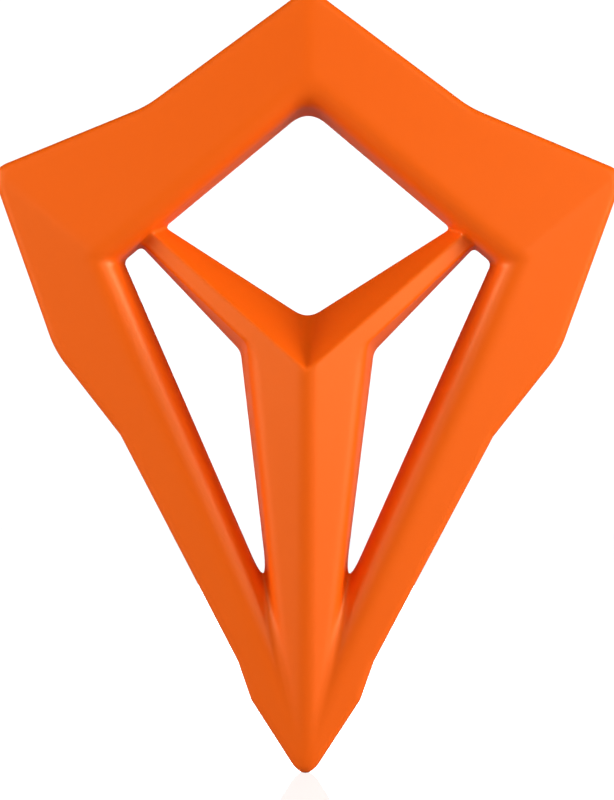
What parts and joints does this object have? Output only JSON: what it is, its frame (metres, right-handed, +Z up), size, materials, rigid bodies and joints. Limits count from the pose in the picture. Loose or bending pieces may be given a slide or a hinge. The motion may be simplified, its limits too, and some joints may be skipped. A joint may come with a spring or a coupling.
{
  "type": "boomerang",
  "caption": "Kite-shaped soft throwing toy: a faceted ring of bars around a Y-shaped centre, with an open diamond window above and a long window on each side.",
  "frame": {"origin": "centre of the toy's bounding box, on the mid-plane where the two halves meet", "axes": "+X to the right as seen from the front, +Y from the front face to the back face, +Z up the long axis from the tip to the top corner"},
  "size_m": [0.2002, 0.0512, 0.2498],
  "materials": {
    "shell": "matt soft-touch moulded rubber, orange all through",
    "foam": "closed-cell foam strip, cream",
    "adhesive": "cured flexible adhesive, amber"
  },
  "bodies": {
    "root": {"front_shell": "shell", "back_shell": "shell", "core_upper_left": "foam", "core_upper_right": "foam", "core_lower_left": "foam", "core_lower_right": "foam", "core_arm_left": "foam", "core_arm_right": "foam", "core_leg": "foam", "seam_outer": "adhesive", "seam_top_window": "adhesive", "seam_left_window": "adhesive", "seam_right_window": "adhesive"}
  },
  "joints": []
}
